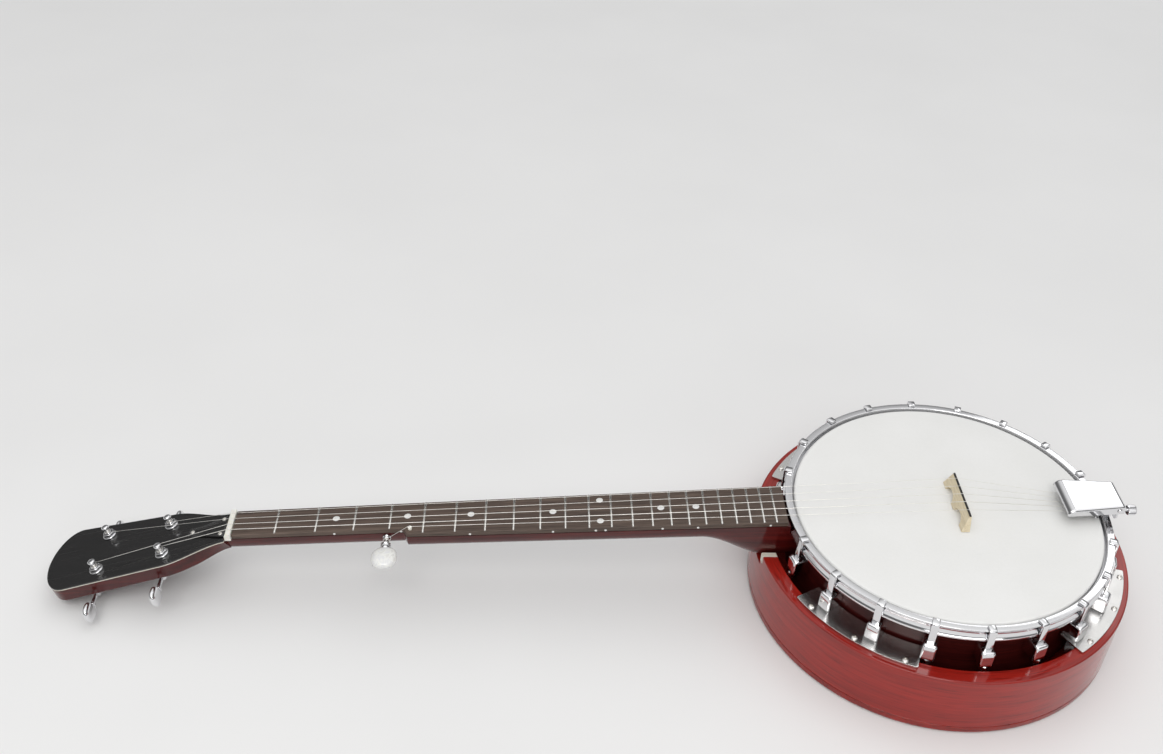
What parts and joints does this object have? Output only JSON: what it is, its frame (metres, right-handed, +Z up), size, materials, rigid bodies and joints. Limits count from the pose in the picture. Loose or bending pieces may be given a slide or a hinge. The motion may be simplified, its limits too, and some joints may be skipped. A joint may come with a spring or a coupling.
{
  "type": "resonator banjo",
  "caption": "Resonator banjo lying on its back: drum-head pot with hook-tensioned hoop, fretted neck, tilting tailpiece and geared string tuners.",
  "frame": {"origin": "on the pot's axis, on the flat outside of the resonator back that it lies on", "axes": "+X from the headstock to the tail, along the string line; +Y to the first-string side; +Z up through the drum head"},
  "size_m": [0.9884, 0.3442, 0.1218],
  "materials": {
    "mahogany": "gloss red lacquer",
    "rim_wood": "dark red lacquer",
    "rosewood": "oiled",
    "maple": "bare",
    "chrome": "polished",
    "nickel": "drawn wire",
    "steel": "plain",
    "brass": "plain",
    "black_lacquer": "gloss black",
    "bone": "satin",
    "pearl": "pearl",
    "skin": "coated white film"
  },
  "bodies": {
    "banjo": {"bridge": "maple", "coordinator_rod": "steel", "drum_head": "skin", "fifth_pip": "bone", "fingerboard": "rosewood", "flange_plate_1": "chrome", "flange_plate_2": "chrome", "flange_plate_3": "chrome", "flange_plate_4": "chrome", "headstock_veneer": "black_lacquer", "neck": "mahogany", "peg_stem": "chrome", "resonator_back": "mahogany", "resonator_side": "mahogany", "rim": "rim_wood", "string_1": "nickel", "string_2": "nickel", "string_3": "nickel", "string_4": "nickel", "string_5": "nickel", "string_nut": "bone", "tail_hanger": "chrome", "tension_bracket_01": "chrome", "tension_bracket_02": "chrome", "tension_bracket_03": "chrome", "tension_bracket_04": "chrome", "tension_bracket_05": "chrome", "tension_bracket_06": "chrome", "tension_bracket_07": "chrome", "tension_bracket_08": "chrome", "tension_bracket_09": "chrome", "tension_bracket_10": "chrome", "tension_bracket_11": "chrome", "tension_bracket_12": "chrome", "tension_bracket_13": "chrome", "tension_bracket_14": "chrome", "tension_bracket_15": "chrome", "tension_bracket_16": "chrome", "tension_bracket_17": "chrome", "tension_bracket_18": "chrome", "tension_hoop": "chrome", "tone_ring": "brass", "truss_cover": "black_lacquer", "truss_rod": "steel", "tuner_1_plate": "chrome", "tuner_2_plate": "chrome", "tuner_3_plate": "chrome", "tuner_4_plate": "chrome"},
    "tuner_1_post": {"tuner_1_post": "chrome"},
    "tuner_1_button": {"tuner_1_button": "chrome"},
    "tuner_2_post": {"tuner_2_post": "chrome"},
    "tuner_2_button": {"tuner_2_button": "chrome"},
    "tuner_3_post": {"tuner_3_post": "chrome"},
    "tuner_3_button": {"tuner_3_button": "chrome"},
    "tuner_4_post": {"tuner_4_post": "chrome"},
    "tuner_4_button": {"tuner_4_button": "chrome"},
    "peg_sleeve": {"peg_sleeve": "chrome"},
    "peg_button": {"peg_button": "pearl"},
    "tailpiece": {"tailpiece": "chrome"},
    "tail_screw": {"tail_screw": "chrome"}
  },
  "joints": [
    {"name": "tuner_1_button_turn", "type": "hinge", "parent": "banjo", "child": "tuner_1_button", "pos_m": [-0.70478, 0.01806, 0.0313], "axis": [0, 1, 0], "continuous": true},
    {"name": "tuner_1_post_turn", "type": "hinge", "parent": "banjo", "child": "tuner_1_post", "pos_m": [-0.69691, 0.01806, 0.03359], "axis": [-0.2798, 0, 0.96], "continuous": true},
    {"name": "tuner_2_button_turn", "type": "hinge", "parent": "banjo", "child": "tuner_2_button", "pos_m": [-0.76301, 0.02155, 0.01433], "axis": [0, 1, 0], "continuous": true},
    {"name": "tuner_2_post_turn", "type": "hinge", "parent": "banjo", "child": "tuner_2_post", "pos_m": [-0.75514, 0.02155, 0.01662], "axis": [-0.2798, 0, 0.96], "continuous": true},
    {"name": "tuner_3_button_turn", "type": "hinge", "parent": "banjo", "child": "tuner_3_button", "pos_m": [-0.76301, -0.02155, 0.01433], "axis": [0, 1, 0], "continuous": true},
    {"name": "tuner_3_post_turn", "type": "hinge", "parent": "banjo", "child": "tuner_3_post", "pos_m": [-0.75514, -0.02155, 0.01662], "axis": [-0.2798, 0, 0.96], "continuous": true},
    {"name": "tuner_4_button_turn", "type": "hinge", "parent": "banjo", "child": "tuner_4_button", "pos_m": [-0.70478, -0.01806, 0.0313], "axis": [0, 1, 0], "continuous": true},
    {"name": "tuner_4_post_turn", "type": "hinge", "parent": "banjo", "child": "tuner_4_post", "pos_m": [-0.69691, -0.01806, 0.03359], "axis": [-0.2798, 0, 0.96], "continuous": true},
    {"name": "peg_button_turn", "type": "hinge", "parent": "banjo", "child": "peg_button", "pos_m": [-0.50663, -0.0136, 0.07187], "axis": [0, -1, 0], "continuous": true},
    {"name": "peg_sleeve_turn", "type": "hinge", "parent": "banjo", "child": "peg_sleeve", "pos_m": [-0.50663, -0.0136, 0.07187], "axis": [0, -1, 0], "continuous": true},
    {"name": "tailpiece_tilt", "type": "hinge", "parent": "banjo", "child": "tailpiece", "pos_m": [0.1525, 0, 0.1172], "axis": [0, 1, 0], "range_deg": [-2, 0]},
    {"name": "tail_screw_turn", "type": "hinge", "parent": "tailpiece", "child": "tail_screw", "pos_m": [0.1575, 0, 0.1016], "axis": [-1, 0, 0], "range_deg": [0, 280]}
  ],
  "couplings": [
    {"joint": "tuner_1_post_turn", "follows": "tuner_1_button_turn", "ratio": 0.071429},
    {"joint": "tuner_2_post_turn", "follows": "tuner_2_button_turn", "ratio": 0.071429},
    {"joint": "tuner_3_post_turn", "follows": "tuner_3_button_turn", "ratio": 0.071429},
    {"joint": "tuner_4_post_turn", "follows": "tuner_4_button_turn", "ratio": 0.071429},
    {"joint": "peg_sleeve_turn", "follows": "peg_button_turn", "ratio": 0.25},
    {"joint": "tailpiece_tilt", "follows": "tail_screw_turn", "ratio": -0.00714}
  ]
}
